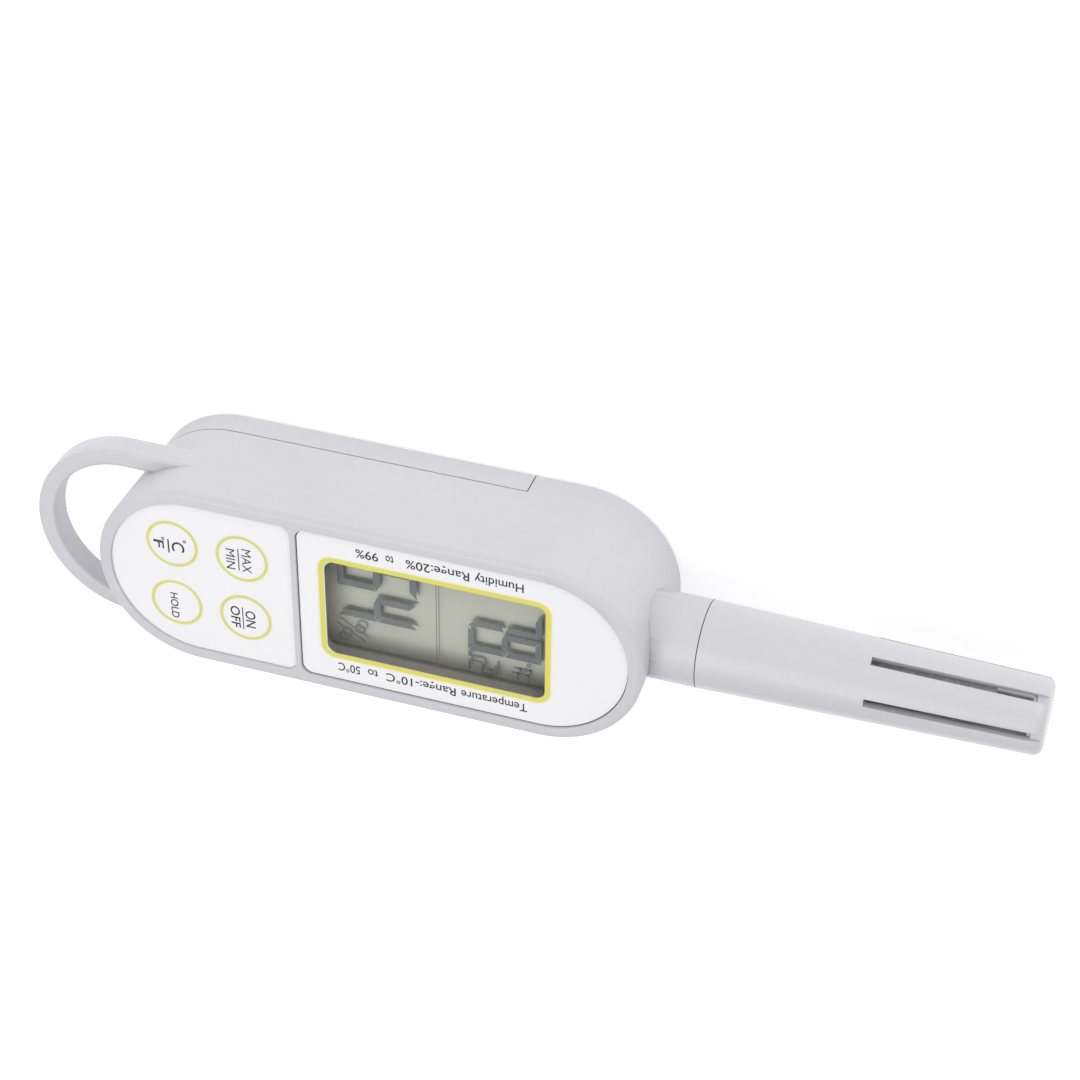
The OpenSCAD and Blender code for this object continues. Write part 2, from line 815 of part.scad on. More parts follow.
main_housing();
hanging_loop();
battery_cover();
key_overlay();
key_unit();
key_hold();
key_max_min();
key_power();
display_lens();
lens_mask();
lcd_glass();
lcd_reflector();
lcd_frame();
zebra_strips();
main_board();
switch_bodies();
switch_domes();
chip_blob();
clock_crystal();
smoothing_capacitor();
small_resistors();
board_screws();
battery_tray();
tray_screws();
contact_springs();
contact_plates();
batteries();
probe_tube();
tube_nut();
friction_ring();
sensor_board();
humidity_sensor();
thermistor();
sensor_leads();
probe_sleeve();
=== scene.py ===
import json
import math

import bmesh
import bpy
from mathutils import Matrix, Vector


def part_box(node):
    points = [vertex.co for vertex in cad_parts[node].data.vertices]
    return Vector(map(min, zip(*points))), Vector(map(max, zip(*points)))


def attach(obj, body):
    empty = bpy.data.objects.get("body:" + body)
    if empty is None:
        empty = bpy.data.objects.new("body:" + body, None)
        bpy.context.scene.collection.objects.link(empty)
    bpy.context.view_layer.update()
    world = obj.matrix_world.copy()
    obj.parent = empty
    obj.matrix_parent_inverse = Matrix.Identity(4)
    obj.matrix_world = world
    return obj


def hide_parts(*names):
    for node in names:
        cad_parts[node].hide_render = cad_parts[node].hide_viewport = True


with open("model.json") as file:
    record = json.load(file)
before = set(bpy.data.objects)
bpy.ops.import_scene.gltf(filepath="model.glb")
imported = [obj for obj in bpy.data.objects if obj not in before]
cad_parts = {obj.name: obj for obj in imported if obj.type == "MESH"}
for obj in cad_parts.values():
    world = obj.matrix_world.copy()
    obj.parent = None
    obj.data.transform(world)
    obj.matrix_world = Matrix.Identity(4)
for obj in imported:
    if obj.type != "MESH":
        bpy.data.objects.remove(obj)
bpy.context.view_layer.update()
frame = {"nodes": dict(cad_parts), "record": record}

NODES = frame["nodes"]
SLOT_OF = {row["node"]: row["material_slot"] for row in frame["record"]["subparts"]}
MM = 0.001

# the face that the print lies on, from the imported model, and the print's own thickness
FILM_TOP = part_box("lens_mask")[1].z
INK_THICK = 0.012 * MM


# ---------------------------------------------------------------- materials


class Finish:
    """One material's node tree, with short ways to add nodes and join them."""

    def __init__(self, name):
        self.mat = bpy.data.materials.new(name)
        self.mat.use_nodes = True
        self.tree = self.mat.node_tree
        self.tree.nodes.clear()
        self.out = self.add("ShaderNodeOutputMaterial")
        self.place = self.add("ShaderNodeTexCoord").outputs["Object"]
        self.normal = None

    def put(self, socket, value):
        if isinstance(value, bpy.types.NodeSocket):
            self.tree.links.new(value, socket)
        elif value is not None:
            socket.default_value = value

    def add(self, kind, settings=None, **inputs):
        node = self.tree.nodes.new(kind)
        for key, value in (settings or {}).items():
            setattr(node, key, value)
        for key, value in inputs.items():
            self.put(node.inputs[key.replace("_", " ")], value)
        return node

    def maths(self, operation, a, b, c=None):
        node = self.add("ShaderNodeMath", {"operation": operation})
        for socket, value in zip(node.inputs, (a, b, c)):
            self.put(socket, value)
        return node.outputs[0]

    def noise(self, scale, detail=2.0, rough=0.5, stretch=None, seed=0.0):
        vector = self.place
        if stretch or seed:
            vector = self.add("ShaderNodeMapping", Vector=vector, Scale=stretch or (1, 1, 1),
                              Location=(seed, seed, seed)).outputs[0]
        return self.add("ShaderNodeTexNoise", Vector=vector, Scale=scale, Detail=detail,
                        Roughness=rough).outputs["Fac"]

    def between(self, value, low, high, to_low=0.0, to_high=1.0):
        return self.add("ShaderNodeMapRange", Value=value, From_Min=low, From_Max=high,
                        To_Min=to_low, To_Max=to_high).outputs[0]

    def mix(self, share, a, b):
        node = self.add("ShaderNodeMix", {"data_type": "RGBA"})
        self.put(node.inputs[0], share)
        for socket, value in ((node.inputs[6], a), (node.inputs[7], b)):
            if isinstance(value, (tuple, list)) and len(value) == 3:
                value = (*value, 1)
            self.put(socket, value)
        return node.outputs[2]

    def bump(self, height, distance, strength=1.0):
        self.normal = self.add("ShaderNodeBump", Height=height, Distance=distance,
                               Strength=strength, Normal=self.normal).outputs[0]

    def edges(self, radius):
        """1 on edges sharper than the rest, 0 on flats, from rounded and plain normals."""
        bevel = self.add("ShaderNodeBevel", {"samples": 4}, Radius=radius).outputs[0]
        plain = self.add("ShaderNodeNewGeometry").outputs["Normal"]
        dot = self.add("ShaderNodeVectorMath", {"operation": "DOT_PRODUCT"})
        self.put(dot.inputs[0], bevel)
        self.put(dot.inputs[1], plain)
        return self.between(dot.outputs["Value"], 0.995, 0.85)

    def crevice(self, distance):
        """1 in the open, falling towards 0 deep in a seam or corner."""
        return self.add("ShaderNodeAmbientOcclusion", {"samples": 4},
                        Distance=distance).outputs["AO"]

    def principled(self, colour, rough, **more):
        if isinstance(colour, (tuple, list)) and len(colour) == 3:
            colour = (*colour, 1)
        node = self.add("ShaderNodeBsdfPrincipled", Base_Color=colour, Roughness=rough, **more)
        if self.normal is not None:
            self.put(node.inputs["Normal"], self.normal)
        self.put(self.out.inputs[0], node.outputs[0])


PLASTIC = (0.558, 0.554, 0.584)
FILM = (0.805, 0.80, 0.815)


def tone(colour, factor):
    return tuple(min(1.0, c * factor) for c in colour)


def moulded(name, colour, rough, grain=0.006 * MM, seed=0.0, mottle=0.02):
    """Moulded plastic: slow colour drift, fine tooling grain, polished edges, painted shade in seams."""
    edge_radius, seam_reach, seam_shade = 0.25 * MM, 1.2 * MM, 0.12
    f = Finish(name)
    slow = f.noise(38, 3, 0.55, seed=seed)
    fine = f.noise(900, 2, 0.6, seed=seed)
    base = f.mix(f.between(slow, 0.3, 0.7), tone(colour, 1 - mottle), tone(colour, 1 + mottle))
    base = f.mix(f.between(fine, 0.35, 0.7, 0.0, 0.35), base, tone(colour, 1 - 1.5 * mottle))
    roughness = f.between(fine, 0.3, 0.7, rough - 0.05, rough + 0.05)
    worn = f.maths("MULTIPLY", f.edges(edge_radius), f.between(f.noise(260, 3, 0.6), 0.35, 0.65))
    base = f.mix(f.maths("MULTIPLY", worn, 0.35), base, tone(colour, 1 + 3 * mottle))
    roughness = f.maths("SUBTRACT", roughness, f.maths("MULTIPLY", worn, 0.1))
    # painted shade: the colour darkens where ambient occlusion finds a seam or corner
    in_open = f.between(f.crevice(seam_reach), 0.15, 0.75)
    base = f.mix(in_open, tone(colour, 1 - seam_shade), base)
    f.bump(f.noise(5200, 2, 0.5), grain)
    f.bump(slow, 0.02 * MM, 0.5)
    f.principled(base, roughness, Specular_IOR_Level=0.5)
    return f.mat


def film(name, colour, rough=0.38, painted_shadow=None):
    """Printed polyester: nearly even, faint screen-print mottle and a shallow orange peel.
    painted_shadow is (y where the painted shadow starts to darken, y where it is darkest, darkest tone)."""
    f = Finish(name)
    slow = f.noise(55, 2, 0.5)
    screen = f.noise(1500, 1, 0.5)
    base = f.mix(f.between(slow, 0.3, 0.7), tone(colour, 0.985), tone(colour, 1.01))
    base = f.mix(f.between(screen, 0.4, 0.75, 0, 0.3), base, tone(colour, 0.97))
    # painted shadow: the colour darkens across y towards one edge
    if painted_shadow:
        start, stop, darkest = painted_shadow
        across = f.add("ShaderNodeSeparateXYZ", Vector=f.place).outputs["Y"]
        base = f.mix(f.between(across, start, stop), base, tone(colour, darkest))
    f.bump(f.noise(1900, 2, 0.5), 0.004 * MM)
    f.principled(base, f.between(screen, 0.3, 0.7, rough - 0.04, rough + 0.05),
                 Specular_IOR_Level=0.4)
    return f.mat


def ink(name, colour, second, rough=0.5, drift=90):
    """Screen-printed ink: coverage changes a little along each line."""
    f = Finish(name)
    slow = f.noise(drift, 2, 0.5)
    base = f.mix(f.between(slow, 0.35, 0.65), colour, second)
    base = f.mix(f.between(f.noise(2600, 1), 0.45, 0.8, 0, 0.25), base, tone(colour, 0.9))
    f.bump(f.noise(2600, 1), 0.003 * MM)
    f.principled(base, f.between(slow, 0.3, 0.7, rough - 0.05, rough + 0.05))
    return f.mat


def soft_ink(name, colour, second, drift):
    """Ink whose cover fades at its edges, by the cover stored on the printed line's points."""
    f = Finish(name)
    cover = f.add("ShaderNodeAttribute", {"attribute_name": "cover"}).outputs["Fac"]
    slow = f.noise(drift, 2, 0.5)
    full = f.mix(f.between(slow, 0.35, 0.65), colour, second)
    grain = f.noise(2600, 1)
    share = f.maths("MULTIPLY", cover, f.between(grain, 0.3, 0.8, 1.0, 0.88))
    f.bump(grain, 0.003 * MM)
    f.principled(f.mix(share, FILM, full), f.between(slow, 0.3, 0.7, 0.42, 0.52),
                 Specular_IOR_Level=0.4)
    return f.mat


CLEAR_MIRROR = 0.02


def clear(name, tint, rough=0.06):
    """Clear sheet that lets light straight through and mirrors a little, more at a slant."""
    f = Finish(name)
    scuff = f.noise(420, 3, 0.6)
    f.bump(f.noise(70, 2), 0.01 * MM, 0.4)
    passed = f.add("ShaderNodeBsdfTransparent", Color=(*tint, 1))
    shine = f.add("ShaderNodeBsdfGlossy", Roughness=f.between(scuff, 0.4, 0.7, rough, rough + 0.08),
                  Normal=f.normal)
    # Schlick's rule, the same on both faces: light goes straight through the sheet, so its far
    # face must not turn into a mirror at a slant
    slant = f.add("ShaderNodeLayerWeight", Blend=0.5, Normal=f.normal).outputs["Facing"]
    share = f.maths("MULTIPLY_ADD", f.maths("POWER", slant, 5.0), 1 - CLEAR_MIRROR, CLEAR_MIRROR)
    both = f.add("ShaderNodeMixShader")
    f.put(both.inputs[0], share)
    f.put(both.inputs[1], passed.outputs[0])
    f.put(both.inputs[2], shine.outputs[0])
    f.put(f.out.inputs[0], both.outputs[0])
    return f.mat


def metal(name, colour, rough=0.28, brushed=(1, 1, 1), stain=0.25):
    """Plated or drawn metal: fine draw lines, dull patches and a little tarnish in corners."""
    f = Finish(name)
    lines = f.noise(2400, 2, 0.6, stretch=brushed)
    patch = f.noise(300, 3, 0.6)
    base = f.mix(f.between(patch, 0.4, 0.7, 0, stain), colour, tone(colour, 0.7))
    base = f.mix(f.between(f.crevice(0.8 * MM), 0.2, 0.8), tone(colour, 0.45), base)
    f.bump(lines, 0.004 * MM)
    f.principled(base, f.between(patch, 0.3, 0.7, rough - 0.06, rough + 0.12), Metallic=1.0)
    return f.mat


def laminate(name, mask, copper, solder=(0.6, 0.6, 0.58)):
    """Circuit board: weave under the solder mask, raised tracks, a few tinned pads."""
    f = Finish(name)
    weave = f.add("ShaderNodeTexWave", {"wave_type": "BANDS", "bands_direction": "DIAGONAL"},
                  Vector=f.place, Scale=1500, Distortion=1.5, Detail=1).outputs["Fac"]
    cells = f.add("ShaderNodeTexVoronoi", {"feature": "DISTANCE_TO_EDGE", "distance": "MANHATTAN"},
                  Vector=f.place, Scale=330, Randomness=0.85).outputs["Distance"]
    track = f.between(cells, 0.10, 0.06)
    dots = f.add("ShaderNodeTexVoronoi", {"feature": "F1"}, Vector=f.place, Scale=330,
                 Randomness=0.3).outputs["Distance"]
    pad = f.maths("MULTIPLY", f.between(dots, 0.17, 0.14), f.between(f.noise(160, 1), 0.5, 0.54))
    base = f.mix(track, mask, copper)
    base = f.mix(f.between(weave, 0.3, 0.7, 0, 0.18), base, tone(mask, 0.6))
    base = f.mix(pad, base, solder)
    f.bump(track, 0.03 * MM, 0.7)
    f.bump(weave, 0.005 * MM)
    f.bump(pad, 0.05 * MM)
    f.principled(base, f.between(pad, 0, 1, 0.4, 0.3), Metallic=f.maths("MULTIPLY", pad, 0.8))
    return f.mat


def rubber(name, colour, rough=0.65):
    f = Finish(name)
    slow = f.noise(240, 3, 0.6)
    base = f.mix(f.between(slow, 0.3, 0.7), tone(colour, 0.9), tone(colour, 1.15))
    f.bump(f.noise(3000, 2), 0.01 * MM)
    f.principled(base, f.between(slow, 0.3, 0.7, rough - 0.1, rough + 0.08),
                 Specular_IOR_Level=0.35)
    return f.mat


MATERIALS = {
    "housing": moulded("housing_plastic", PLASTIC, 0.42),
    "sleeve": moulded("sleeve_plastic", tone(PLASTIC, 0.995), 0.34, grain=0.003 * MM, seed=3.1),
    "tube": moulded("tube_plastic", tone(PLASTIC, 0.985), 0.38, grain=0.004 * MM, seed=5.7),
    "overlay": film("overlay_film", FILM),
    "key": film("key_film", FILM),
    "mask": film("mask_film", FILM),
    "lens": clear("clear_lens", (0.992, 0.995, 0.994)),
    "glass": clear("lcd_clear_glass", (0.985, 0.99, 0.98)),
    # the reflector sheet darkens towards its -y edge: painted shadow of the display well's wall
    "reflector": film("reflector_film", (0.555, 0.55, 0.49), 0.6, painted_shadow=(-0.0095, -0.0130, 0.74)),
    "frame": moulded("frame_plastic", (0.34, 0.33, 0.30), 0.55, mottle=0.06),
    "zebra": rubber("zebra_rubber", (0.75, 0.32, 0.38)),
    "board": laminate("board_laminate", (0.02, 0.13, 0.05), (0.05, 0.22, 0.09)),
    "strip": laminate("strip_laminate", (0.66, 0.65, 0.62), (0.78, 0.77, 0.73)),
    "switch": moulded("switch_plastic", (0.02, 0.02, 0.022), 0.5, mottle=0.15),
    "dome": metal("dome_steel", (0.72, 0.71, 0.68)),
    "chip": rubber("chip_epoxy", (0.012, 0.012, 0.014), 0.3),
    "crystal": metal("crystal_can", (0.70, 0.70, 0.72), brushed=(0.1, 1, 1)),
    "can": metal("capacitor_can", (0.62, 0.62, 0.65), brushed=(1, 1, 0.1)),
    "resistor": rubber("resistor_body", (0.03, 0.03, 0.035), 0.4),
    "screw": metal("screw_steel", (0.62, 0.62, 0.63), 0.32),
    "tray": moulded("tray_plastic", (0.66, 0.66, 0.69), 0.48, seed=8.3),
    "spring": metal("spring_steel", (0.72, 0.72, 0.70), 0.22),
    "contact": metal("contact_plate", (0.70, 0.70, 0.69), 0.3, brushed=(1, 0.1, 1)),
    "wrap": ink("cell_wrap", (0.02, 0.05, 0.17), (0.03, 0.07, 0.22), 0.3, 60),
    "wrap_band": ink("cell_band", (0.62, 0.55, 0.10), (0.68, 0.62, 0.14), 0.3, 60),
    "nut": moulded("nut_plastic", (0.09, 0.092, 0.10), 0.5, mottle=0.08),
    "ring": rubber("ring_rubber", (0.012, 0.012, 0.012)),
    "sensor": moulded("sensor_body", (0.72, 0.70, 0.66), 0.4),
    "bead": rubber("thermistor_bead", (0.02, 0.02, 0.02), 0.2),
    "lead": rubber("lead_insulation", (0.5, 0.03, 0.02), 0.45),
    "dark_ink": ink("dark_ink", (0.010, 0.010, 0.016), (0.022, 0.022, 0.034)),
    "ring_ink": soft_ink("ring_ink", (0.58, 0.585, 0.115), (0.63, 0.61, 0.14), 160),
    "frame_ink": soft_ink("frame_ink", (0.70, 0.62, 0.07), (0.63, 0.61, 0.095), 60),
    "segment": ink("segment_on", (0.150, 0.155, 0.172), (0.18, 0.185, 0.20), 0.35),
    # painted shadow of the segments, a second copy of the reading laid deeper in the glass
    "painted_shadow": ink("segment_shade", (0.33, 0.33, 0.295), (0.37, 0.365, 0.325), 0.6),
    # a dark band in the gap round the lens, painted shadow
    "gap_shadow": rubber("lens_gap_shadow", (0.02, 0.02, 0.022), 0.6),
}

NODE_FINISH = {
    "main_housing": "housing", "hanging_loop": "housing", "battery_cover": "housing",
    "key_overlay": "overlay", "key_unit": "key", "key_hold": "key", "key_max_min": "key",
    "key_power": "key", "display_lens": "lens", "lens_mask": "mask", "lcd_glass": "glass",
    "lcd_reflector": "reflector", "lcd_frame": "frame", "zebra_strips": "zebra",
    "main_board": "board", "switch_bodies": "switch", "switch_domes": "dome",
    "chip_blob": "chip", "clock_crystal": "crystal", "smoothing_capacitor": "can",
    "small_resistors": "resistor", "board_screws": "screw", "battery_tray": "tray",
    "tray_screws": "screw", "contact_springs": "spring", "contact_plates": "contact",
    "batteries": "wrap", "probe_tube": "tube", "tube_nut": "nut", "friction_ring": "ring",
    "sensor_board": "strip", "humidity_sensor": "sensor", "thermistor": "bead",
    "sensor_leads": "lead", "probe_sleeve": "sleeve",
}
for node_name, finish in NODE_FINISH.items():
    NODES[node_name].material_slots[0].material = MATERIALS[finish]


# ---------------------------------------------------------------- mesh tools

WELD = 0.002 * MM
FLAT_ANGLE, SHARP_ANGLE, EDGE_ANGLE = math.radians(0.6), math.radians(30), math.radians(35)


def piece(name, mesh, finish, body, slot, *replaced):
    """Puts a finished mesh in the scene, riding on its body."""
    obj = bpy.data.objects.new(name, mesh)
    bpy.context.scene.collection.objects.link(obj)
    mesh.materials.append(MATERIALS[finish])
    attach(obj, body)
    if replaced:
        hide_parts(*replaced)
    return obj


def mesh_of(bm, name):
    mesh = bpy.data.meshes.new(name)
    bmesh.ops.recalc_face_normals(bm, faces=bm.faces)
    bm.to_mesh(mesh)
    bm.free()
    mesh.shade_smooth()
    mesh.set_sharp_from_angle(angle=SHARP_ANGLE)
    return mesh


def plates(name, outlines, low, high):
    """Flat plates: each outline is a list of (x, y), raised from low to high."""
    bm = bmesh.new()
    for outline in outlines:
        floor = [bm.verts.new((x, y, low)) for x, y in outline]
        roof = [bm.verts.new((x, y, high)) for x, y in outline]
        bm.faces.new(roof)
        bm.faces.new(list(reversed(floor)))
        count = len(outline)
        for i in range(count):
            j = (i + 1) % count
            bm.faces.new((floor[i], floor[j], roof[j], roof[i]))
    return mesh_of(bm, name)


def band(name, outer, inner, low, high):
    """A flat band between two closed outlines of the same number of points."""
    bm = bmesh.new()
    rings = [[bm.verts.new((x, y, z)) for x, y in line]
             for line, z in ((outer, low), (outer, high), (inner, high), (inner, low))]
    count = len(outer)
    for k in range(4):
        a, b = rings[k], rings[(k + 1) % 4]
        for i in range(count):
            j = (i + 1) % count
            bm.faces.new((a[i], a[j], b[j], b[i]))
    return mesh_of(bm, name)


def circle(cx, cy, radius, count=96):
    return [(cx + radius * math.cos(2 * math.pi * i / count),
             cy + radius * math.sin(2 * math.pi * i / count)) for i in range(count)]


def rounded(x0, x1, y0, y1, radius, steps=12):
    """Closed outline of a rectangle with rounded corners."""
    points = []
    for cx, cy, start in ((x1 - radius, y1 - radius, 0), (x0 + radius, y1 - radius, 90),
                          (x0 + radius, y0 + radius, 180), (x1 - radius, y0 + radius, 270)):
        for i in range(steps + 1):
            a = math.radians(start + 90 * i / steps)
            points.append((cx + radius * math.cos(a), cy + radius * math.sin(a)))
    return points


def softened(node, width, body="meter"):
    """A copy of a CAD node with its sharp edges rounded over by a small width."""
    bm = bmesh.new()
    bm.from_mesh(NODES[node].data)
    bmesh.ops.remove_doubles(bm, verts=bm.verts, dist=WELD)
    bmesh.ops.dissolve_limit(bm, angle_limit=FLAT_ANGLE, verts=bm.verts, edges=bm.edges)
    mesh = bpy.data.meshes.new(node + "_soft")
    bm.to_mesh(mesh)
    bm.free()
    mesh.shade_smooth()
    mesh.set_sharp_from_angle(angle=EDGE_ANGLE)
    obj = piece(node + "_soft", mesh, NODE_FINISH[node], body, SLOT_OF[node], node)
    bevel = obj.modifiers.new("edges", "BEVEL")
    bevel.width = width
    bevel.segments = 2
    bevel.limit_method = "ANGLE"
    bevel.angle_limit = EDGE_ANGLE
    bevel.use_clamp_overlap = True
    bevel.harden_normals = True


for node_name, width, body in (("main_housing", 0.16 * MM, "meter"),
                               ("battery_cover", 0.14 * MM, "battery_cover"),
                               ("probe_tube", 0.12 * MM, "meter"),
                               ("probe_sleeve", 0.16 * MM, "sleeve")):
    softened(node_name, width, body=body)


# ---------------------------------------------------------------- inside pieces


def lathe(name, profile, centre, finish, slot, along):
    """Turns (x, radius) round an axis along x; along -1 runs it the other way."""
    count = 64
    bm = bmesh.new()
    cx, cy, cz = centre
    rings = [[bm.verts.new((cx + along * x, y, z)) for y, z in circle(cy, cz, r, count)]
             for x, r in profile]
    bm.faces.new(rings[0])
    bm.faces.new(rings[-1])
    for a, b in zip(rings, rings[1:]):
        for i in range(count):
            j = (i + 1) % count
            bm.faces.new((a[i], b[i], b[j], a[j]))
    return piece(name, mesh_of(bm, name), finish, "meter", slot)


def coil(name, start, along, slot, base_r, top_r, long, turns, wire_r):
    """A cone spring of round wire standing along x, its first and last turns partly flat."""
    steps, sides = turns * 28, 8
    first_flat, last_flat = 0.8, 0.6
    side = Vector((1, 0, 0))
    bm = bmesh.new()
    rings = []
    for k in range(steps + 1):
        t = k / steps
        risen = min(1.0, max(0.0, (t * turns - first_flat) / (turns - first_flat - last_flat)))
        a = 2 * math.pi * turns * t
        r = base_r + (top_r - base_r) * t
        x = wire_r + (long - 2 * wire_r) * risen
        mid = Vector((start[0] + along * x, start[1] + r * math.cos(a), start[2] + r * math.sin(a)))
        out = Vector((0, math.cos(a), math.sin(a)))
        rings.append([bm.verts.new(mid + (out * math.cos(2 * math.pi * i / sides)
                                          + side * math.sin(2 * math.pi * i / sides)) * wire_r)
                      for i in range(sides)])
    for a, b in zip(rings, rings[1:]):
        for i in range(sides):
            j = (i + 1) % sides
            bm.faces.new((a[i], b[i], b[j], a[j]))
    bm.faces.new(rings[0])
    bm.faces.new(list(reversed(rings[-1])))
    return piece(name, mesh_of(bm, name), "spring", "meter", slot)


CELL_LOW, CELL_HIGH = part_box("batteries")
SPRING_LOW, SPRING_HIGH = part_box("contact_springs")
# the sizes and seats of the CAD's cells; NEST keeps these skins just inside them
CELL_R, CELL_Y, CELL_Z = 5.15 * MM, 5.9 * MM, 7.9 * MM
CELL_BODY, CELL_LONG = 43.3 * MM, 44.3 * MM
BAND_START, BAND_END, BAND_RISE = 31.5 * MM, 42.62 * MM, 0.02 * MM
NEST = 0.04 * MM
r = CELL_R - NEST
for side, nose, along in ((1, CELL_HIGH.x, 1), (-1, CELL_LOW.x, -1)):
    tail = nose - along * CELL_LONG
    tag = "a" if side > 0 else "b"
    seat = (tail, side * CELL_Y, CELL_Z)
    lathe("cell_wrap_" + tag, [
        (0.35 * MM, r - 0.5 * MM), (0.12 * MM, r - 0.35 * MM), (0.12 * MM, r - 0.15 * MM),
        (0.3 * MM, r), (13.0 * MM, r), (31.3 * MM, r), (CELL_BODY - 0.3 * MM, r),
        (CELL_BODY - 0.05 * MM, r - 0.2 * MM), (CELL_BODY - 0.05 * MM, r - 0.55 * MM),
        (CELL_BODY - 0.4 * MM, r - 0.8 * MM)], seat, "wrap", "cell_wrap", along)
    lathe("cell_band_" + tag, [
        (BAND_START, r), (BAND_START + BAND_RISE, r + BAND_RISE),
        (BAND_END - BAND_RISE, r + BAND_RISE), (BAND_END, r)], seat, "wrap_band", "cell_wrap", along)
    lathe("cell_can_" + tag, [
        (0.05 * MM, 0.1 * MM), (0.05 * MM, 3.3 * MM), (0.3 * MM, 3.6 * MM), (0.32 * MM, r - 0.6 * MM),
        (1.0 * MM, r - 0.4 * MM)], seat, "contact", "cell_wrap", along)
    lathe("cell_cap_" + tag, [
        (CELL_BODY - 1.0 * MM, r - 0.7 * MM), (CELL_BODY - 0.42 * MM, r - 0.8 * MM),
        (CELL_BODY - 0.36 * MM, 2.4 * MM), (CELL_BODY - 0.1 * MM, 2.1 * MM),
        (CELL_LONG - 0.35 * MM, 1.9 * MM), (CELL_LONG - 0.08 * MM, 1.7 * MM),
        (CELL_LONG - 0.02 * MM, 0.1 * MM)], seat, "contact", "cell_wrap", along)
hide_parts("batteries")

# the wire is a little thinner than the CAD's, and the base turn a little smaller
CAD_WIRE_R, SPRING_WIRE_R, SPRING_INSET = 0.35 * MM, 0.34 * MM, 0.02 * MM
SPRING_BASE_R = SPRING_HIGH.z - CELL_Z - CAD_WIRE_R - SPRING_INSET
SPRING_TOP_R, SPRING_LONG, SPRING_TURNS = 2.2 * MM, 4.85 * MM, 4
springs = [coil("cell_spring_" + tag, (x, y, CELL_Z), along, "spring_steel", SPRING_BASE_R,
                SPRING_TOP_R, SPRING_LONG, SPRING_TURNS, SPRING_WIRE_R)
           for tag, x, y, along in (("a", SPRING_LOW.x, CELL_Y, 1),
                                    ("b", SPRING_HIGH.x, -CELL_Y, -1))]
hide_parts("contact_springs")

# raised polarity marks on the tray beside each end of the two cells
MARK_HALF, MARK_WIDE, MARK_Y = 1.5 * MM, 0.5 * MM, 15.6 * MM
TRAY_FACE, MARK_RISE = 7.2 * MM, 0.15 * MM
PROBE_END_X, LOOP_END_X = 18 * MM, -23 * MM
half, thin = MARK_HALF, MARK_WIDE / 2
marks = []
for side, plus_x, minus_x in ((1, PROBE_END_X, LOOP_END_X), (-1, LOOP_END_X, PROBE_END_X)):
    y = side * MARK_Y
    for x, upright in ((plus_x, True), (minus_x, False)):
        shape = [(x - half, y - thin), (x + half, y - thin), (x + half, y + thin), (x - half, y + thin)]
        if upright:
            shape = [(x - half, y - thin), (x - thin, y - thin), (x - thin, y - half),
                     (x + thin, y - half), (x + thin, y - thin), (x + half, y - thin),
                     (x + half, y + thin), (x + thin, y + thin), (x + thin, y + half),
                     (x - thin, y + half), (x - thin, y + thin), (x - half, y + thin)]
        marks.append(shape)
piece("polarity_marks", plates("polarity_marks", marks, TRAY_FACE - MARK_RISE, TRAY_FACE + MARK_RISE),
      "tray", "meter", "tray_plastic")

for node_name, width in (("battery_tray", 0.12 * MM), ("tube_nut", 0.15 * MM),
                         ("hanging_loop", 0.12 * MM), ("humidity_sensor", 0.12 * MM),
                         ("tray_screws", 0.06 * MM), ("board_screws", 0.06 * MM)):
    softened(node_name, width)


# ---------------------------------------------------------------- print on the films

LETTER_WEIGHT = 0.009


def font_mesh(words, weight=LETTER_WEIGHT):
    """Flat letters at font size 1, their lines thickened by weight."""
    curve = bpy.data.curves.new("letters", "FONT")
    curve.body = words
    curve.size = 1.0
    curve.resolution_u = 6
    curve.offset = weight
    holder = bpy.data.objects.new("letters", curve)
    bpy.context.scene.collection.objects.link(holder)
    bpy.context.view_layer.update()
    mesh = bpy.data.meshes.new_from_object(
        holder.evaluated_get(bpy.context.evaluated_depsgraph_get()))
    bpy.data.objects.remove(holder)
    bpy.data.curves.remove(curve)
    return mesh


CAP_HEIGHT = max(v.co.y for v in font_mesh("H").vertices)


def lettering(words, start, length, cap, across, up, weight):
    """A mesh of printed words: baseline starts at start, runs length along across."""
    flat = font_mesh(words, weight)
    xs = [v.co.x for v in flat.vertices]
    left, wide = min(xs), max(xs) - min(xs)
    bm = bmesh.new()
    bm.from_mesh(flat)
    bpy.data.meshes.remove(flat)
    made = bmesh.ops.extrude_face_region(bm, geom=bm.faces[:])
    raised = {v for v in made["geom"] if isinstance(v, bmesh.types.BMVert)}
    for v in bm.verts:
        place = start + across * ((v.co.x - left) / wide * length) + up * (v.co.y / CAP_HEIGHT * cap)
        place.z = FILM_TOP + (INK_THICK if v in raised else 0.0)
        v.co = place
    return bm


def in_metres(outlines):
    return [[(x * MM, y * MM) for x, y in outline] for outline in outlines]


def print_words(name, rows, across, up, body, slot, shapes=(), weight=LETTER_WEIGHT):
    """Printed rows, (words, (x, y), length, cap), and plain shapes, all in mm, as one piece."""
    whole = bpy.data.meshes.new(name)
    total = bmesh.new()
    for words, (x, y), length, cap in rows:
        row = lettering(words, Vector((x, y, 0)) * MM, length * MM, cap * MM, across, up, weight)
        row.to_mesh(whole)
        row.free()
        total.from_mesh(whole)
    if shapes:
        total.from_mesh(plates(name + "_bars", in_metres(shapes), FILM_TOP, FILM_TOP + INK_THICK))
    bmesh.ops.recalc_face_normals(total, faces=total.faces)
    total.to_mesh(whole)
    total.free()
    piece(name, whole, "dark_ink", body, slot)


